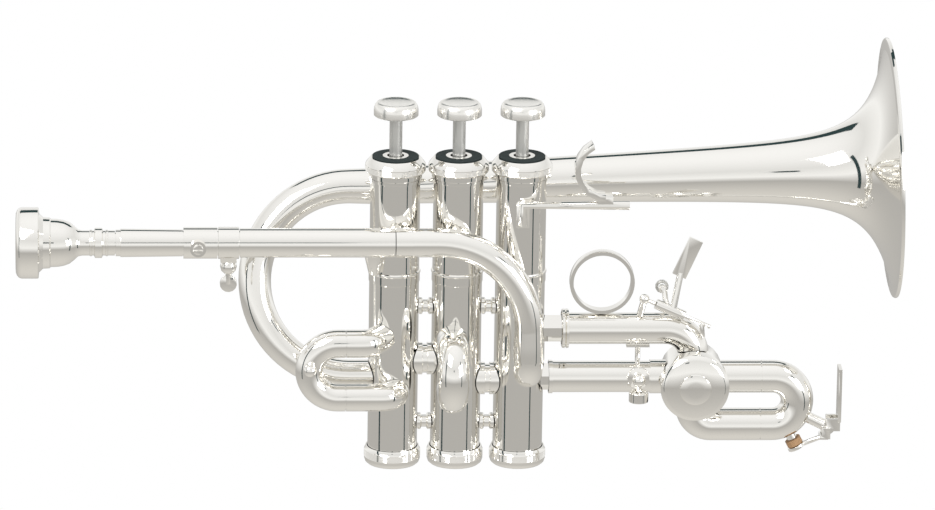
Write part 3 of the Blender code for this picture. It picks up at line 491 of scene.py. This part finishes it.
def caps_and_buttons():
    """Top cap, bottom cap and finger button of each valve."""
    top_ridges = ridges(11.62, 57.2, 0.14, 9)
    top_cap = [(3.3, 60.9), (3.3, 63.0), (5.0, 63.0), (5.0, CAP_TOP), (9.5, CAP_TOP),
               (9.8, 62.2), (11.4, 60.2), (11.7, 59.6), *top_ridges[::-1], (11.4, 56.9),
               (10.3, 56.6), (10.3, 54.7), (9.8, 54.7), (9.8, 60.9)]
    bottom_cap = [(0, -61.7), (8.7, -61.7), (9.7, -61.5), (10.5, -60.8), (10.9, -59.6),
                  *ridges(10.88, -58.9, 0.12, 12), (10.7, -55.8), (10.4, -54.5),
                  (9.95, -54.5), (9.95, -60.2), (0, -60.2)]
    button = [(0, 81.3), (2.8, 81.3), (2.8, 79.0), (8.2, 79.0), (8.6, 79.3), (8.6, 81.3),
              (8.45, 82.4), (8.1, 83.4), (7.6, 84.1), (7.1, 84.35), (6.6, 84.4),
              (6.0, 84.25), (5.0, 84.05), (0, BUTTON_TOP)]
    for valve, x in VALVE_X.items():
        for name, profile in (("top_cap", top_cap), ("bottom_cap", bottom_cap),
                              ("finger_button", button)):
            lathe(f"{name}_{valve}", profile, (x, 0, 0), Z_AXIS)


def rotor_cap():
    """The rotary valve's dished screw cap, which faces the viewer."""
    profile = [(0, -18.0), (3.0, -17.95), (5.0, -17.7), (6.0, -17.3), (6.2, -17.0),
               (11.4, -16.4), (12.4, -15.8), (13.3, -14.8), (13.4, -14.2), (13.4, -9.8),
               (2.0, -9.8), (2.0, -14.0), (0, -14.0)]
    lathe("rotor_cap", profile, (ROTOR_X, 0, ROTOR_Z), Y_AXIS)


def casings():
    """Casings with the raised seam between their halves."""
    profile = [(CASING_BORE_R, CASING_FOOT), (CASING_R, CASING_FOOT), (CASING_R, 12.6),
               (9.9, 12.8), (9.9, 16.1), (10.1, 16.3), (10.2, 16.7), (10.1, 17.1),
               (CASING_R, 17.4), (CASING_R, 53.2), (10.0, 53.4), (10.0, 54.4),
               (9.5, 54.4), (9.5, CASING_TOP), (CASING_BORE_R, CASING_TOP)]
    for valve, x in VALVE_X.items():
        lathe(f"valve_casing_{valve}", profile, (x, 0, 0), Z_AXIS)


def casing_fittings():
    """The second slide's stubs, the clamp on the main tube and the finger ring."""
    for place, z in SECOND_SLIDE_Z.items():
        stub = rod(f"second_stub_{place}", (SECOND_SLIDE_X, -9.3, z),
                   (SECOND_SLIDE_X, -15, z), SECOND_SLIDE_R, "frame")
        cut_round(stub, (SECOND_SLIDE_X, -25, z), Y_AXIS, SECOND_SLIDE_R - SLIDE_WALL, 18)
    sleeve = [(PIPE_R, -106.2), (6.05, -106.2), (6.05, -93.2), (PIPE_R, -93.2)]
    lathe("clamp_sleeve", sleeve, PIPE, X_AXIS)
    rod("clamp_boss", (-100.7, -22.4, PIPE_Z), (-100.7, -25.7, PIPE_Z), 3.1, "frame")
    band = [(11.2, -2.3), (12.5, -2.3), (12.6, -2.0), (12.6, 2.0), (12.5, 2.3),
            (11.2, 2.3)]
    lathe("finger_ring", band, (56.3, 0, 11.9), Y_AXIS)


def between_casings():
    """The crossover tube and the two spool braces in each gap between casings."""
    crossover = [(4.3, -5.7), (6.3, -5.7), (6.3, -1.0), (6.1, -0.9), (5.65, -0.9),
                 (5.65, 0.9), (6.1, 0.9), (6.3, 1.0), (6.3, 5.7), (4.3, 5.7)]
    spool = [(0, -5), (3.3, -5), (3.3, -1.5), (3.0, -1.2), (2.4, -0.9), (2.4, 0.9),
             (3.0, 1.2), (3.3, 1.5), (3.3, 5), (0, 5)]
    for first, crossover_z in ((1, -19.25), (2, -27.4)):
        second = first + 1
        middle = (VALVE_X[first] + VALVE_X[second]) / 2
        for name, profile, z in (("crossover", crossover, crossover_z),
                                 ("upper_brace", spool, 2.2),
                                 ("lower_brace", spool, -44.8)):
            piece = lathe(f"{name}_{first}_{second}", profile, (middle, 0, z), X_AXIS)
            clear_casing(clear_casing(piece, first), second)


def first_slide_bow():
    """The first slide's bow, with its pull knob."""
    upper, lower = ((-43.45, FIRST_SLIDE_Y, z) for z in FIRST_SLIDE_Z.values())
    u_bow("first_slide_bow", upper, lower, -X_AXIS, 3.0, 5.0, FIRST_SLIDE_R)
    knob("pull_knob", (-57.25, -22.2, -17.0), 2.6, "first_slide")


def fourth_slide_bow():
    """The fourth slide's bow, with the water key's nipple, post and barrel."""
    upper, lower = (Vector((FOURTH_LEG_END + GAP, 0, z)) for z in (ROTOR_Z, FOURTH_LOWER_Z))
    u_bow("fourth_slide_bow", upper, lower, X_AXIS, FOURTH_REACH, 12, FOURTH_LEG_R)
    centre = (upper + lower) / 2 + X_AXIS * FOURTH_REACH
    hinge = Vector((145.7, 0, -47.45))
    nipple_angle = radians(62)
    out = Vector((cos(nipple_angle), 0, -sin(nipple_angle)))
    post = (hinge - centre).normalized()
    bow_edge = 15.5
    body = "fourth_slide"
    rod("nipple", centre + out * bow_edge, centre + out * 17.6, 2.0, body)
    rod("key_post", centre + post * bow_edge, hinge - post * 1.9, 2.2, body)
    rod("key_barrel", hinge - Y_AXIS * 2, hinge + Y_AXIS * 2, 2.6, body)


def softened(node):
    """A smooth copy of a CAD node, with its true edges rounded a little."""
    bm = bmesh.new()
    bm.from_mesh(bpy.data.objects[node].data)
    bmesh.ops.remove_doubles(bm, verts=bm.verts, dist=1e-6)
    mesh = bpy.data.meshes.new(f"{node}_surface")
    bm.to_mesh(mesh)
    bm.free()
    mesh.shade_smooth()
    mesh.set_sharp_from_angle(angle=SOFT_ANGLE)
    mesh.materials.clear()
    mesh.materials.append(bpy.data.materials[look_of(node)])
    made = bpy.data.objects.new(f"{node}_surface", mesh)
    bpy.context.scene.collection.objects.link(made)
    edge = made.modifiers.new("edge", "BEVEL")
    edge.width = SOFT_EDGE * MM
    edge.segments = 2
    edge.limit_method = "ANGLE"
    edge.angle_limit = SOFT_ANGLE
    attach(made, body_of(node))
    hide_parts(node)


def small_pieces():
    """Levers, hook, screws and the like, whose CAD shape is kept."""
    for node in ("pinky_hook", "fourth_lever", "lever_link", "hinge_rod", "rotor_casing",
                 "slide_lock_rod", "lock_nut", "clamp_screw", "lyre_collar",
                 "lyre_screw", "leadpipe_brace", "water_key"):
        softened(node)


def painted_reflection_rings():
    """Dark washers on the top caps, round the stems, which paint the dark reflection seen
    in the cap tops.
    """
    reflection_ring = [(5.1, CAP_TOP + 0.1), (9.0, CAP_TOP + 0.1), (9.0, CAP_TOP + 0.5),
              (5.1, CAP_TOP + 0.5)]
    for valve, x in VALVE_X.items():
        # Each washer is a dark ring painted where the cap top shows a dark reflection:
        # painted reflection
        smooth_object(turned(reflection_ring, (x, 0, 0), Z_AXIS), f"cap_felt_{valve}",
                      "black_felt", "frame")


def camera_frame():
    """The camera's right, up and backward directions."""
    forward = Vector((sin(YAW) * cos(ELEVATION), cos(YAW) * cos(ELEVATION),
                      -sin(ELEVATION)))
    right = forward.cross(Z_AXIS).normalized()
    up = right.cross(forward)
    rolled_right = right * cos(ROLL) + up * sin(ROLL)
    rolled_up = up * cos(ROLL) - right * sin(ROLL)
    return rolled_right, rolled_up, -forward


def add_camera():
    """A camera whose picture is as wide as the photograph's, at the object."""
    right, up, back = camera_frame()
    data = bpy.data.cameras.new("camera")
    data.lens = data.sensor_width * DISTANCE / PICTURE_WIDTH
    made = bpy.data.objects.new("camera", data)
    turn = Matrix((right, up, back)).transposed().to_4x4()
    made.matrix_world = Matrix.Translation(LOOK_AT + back * DISTANCE) @ turn
    bpy.context.scene.collection.objects.link(made)
    bpy.context.scene.camera = made


def card(name, centre, facing, width, height):
    """A flat dark card that only reflections see."""
    bpy.ops.mesh.primitive_plane_add(size=1.0)
    made = bpy.context.object
    made.name = name
    made.scale = (width, height, 1.0)
    made.location = centre
    made.rotation_euler = Vector(facing).to_track_quat("Z", "Y").to_euler()
    look = bpy.data.materials.new(name)
    look.use_nodes = True
    shader = look.node_tree.nodes["Principled BSDF"]
    shader.inputs["Base Color"].default_value = (*DARK_CARD, 1.0)
    shader.inputs["Roughness"].default_value = 1.0
    made.data.materials.append(look)
    made.visible_camera = False
    made.visible_shadow = False


def add_cards():
    """Dark cards round the object, which draw the lines in its polish."""
    _, _, back = camera_frame()
    card("camera_card", LOOK_AT + back * 1.2, -back, 0.11, 0.10)
    card("ceiling_card", (0.0, 0.9, 0.75), (0.0, -0.9, -0.75), 1.2, 0.35)
    card("left_card", (-1.1, -0.5, 0.1), (1.1, 0.5, -0.1), 0.16, 1.4)
    card("right_card", (1.0, -0.7, 0.1), (-1.0, 0.7, -0.1), 0.12, 1.4)


def add_world():
    """White for the camera, and a soft grey and white room for reflections and light."""
    world = bpy.data.worlds.new("studio")
    bpy.context.scene.world = world
    world.use_nodes = True
    nodes, links = world.node_tree.nodes, world.node_tree.links
    nodes.clear()
    place = nodes.new("ShaderNodeTexCoord")
    split = nodes.new("ShaderNodeSeparateXYZ")
    height = nodes.new("ShaderNodeMapRange")
    height.inputs["From Min"].default_value = -1.0
    ramp = nodes.new("ShaderNodeValToRGB")
    points = ramp.color_ramp.elements
    points[0].color = (0.70, 0.68, 0.64, 1)
    points[1].color = (1.0, 1.0, 1.0, 1)
    for where, colour in ((0.36, (0.46, 0.45, 0.43, 1)), (0.50, (0.96, 0.96, 0.95, 1)),
                          (0.70, (0.80, 0.80, 0.79, 1))):
        points.new(where).color = colour
    room = nodes.new("ShaderNodeBackground")
    room.inputs["Strength"].default_value = 1.0
    white = nodes.new("ShaderNodeBackground")
    white.inputs["Color"].default_value = (1, 1, 1, 1)
    seen = nodes.new("ShaderNodeLightPath")
    mix = nodes.new("ShaderNodeMixShader")
    out = nodes.new("ShaderNodeOutputWorld")
    links.new(place.outputs["Generated"], split.inputs[0])
    links.new(split.outputs["Z"], height.inputs["Value"])
    links.new(height.outputs["Result"], ramp.inputs["Fac"])
    links.new(ramp.outputs["Color"], room.inputs["Color"])
    links.new(seen.outputs["Is Camera Ray"], mix.inputs["Fac"])
    links.new(room.outputs[0], mix.inputs[1])
    links.new(white.outputs[0], mix.inputs[2])
    links.new(mix.outputs[0], out.inputs["Surface"])


def add_light(name, centre, power, size):
    """A square soft light that faces the object."""
    data = bpy.data.lights.new(name, "AREA")
    data.energy = power
    data.size = size
    made = bpy.data.objects.new(name, data)
    made.location = centre
    made.rotation_euler = (-Vector(centre)).to_track_quat("-Z", "Y").to_euler()
    bpy.context.scene.collection.objects.link(made)


dress()
bell()
mouthpiece()
pipe_line()
crook()
second_slide()
first_slide_legs()
rotor_tubes()
caps_and_buttons()
rotor_cap()
casings()
casing_fittings()
between_casings()
first_slide_bow()
fourth_slide_bow()
small_pieces()
painted_reflection_rings()
add_camera()
add_cards()
add_world()
add_light("window", (-0.8, -0.9, 1.1), 14.0, 0.8)
add_light("fill", (1.0, -0.8, 0.3), 5.0, 0.6)
bpy.context.scene.view_settings.view_transform = "Standard"
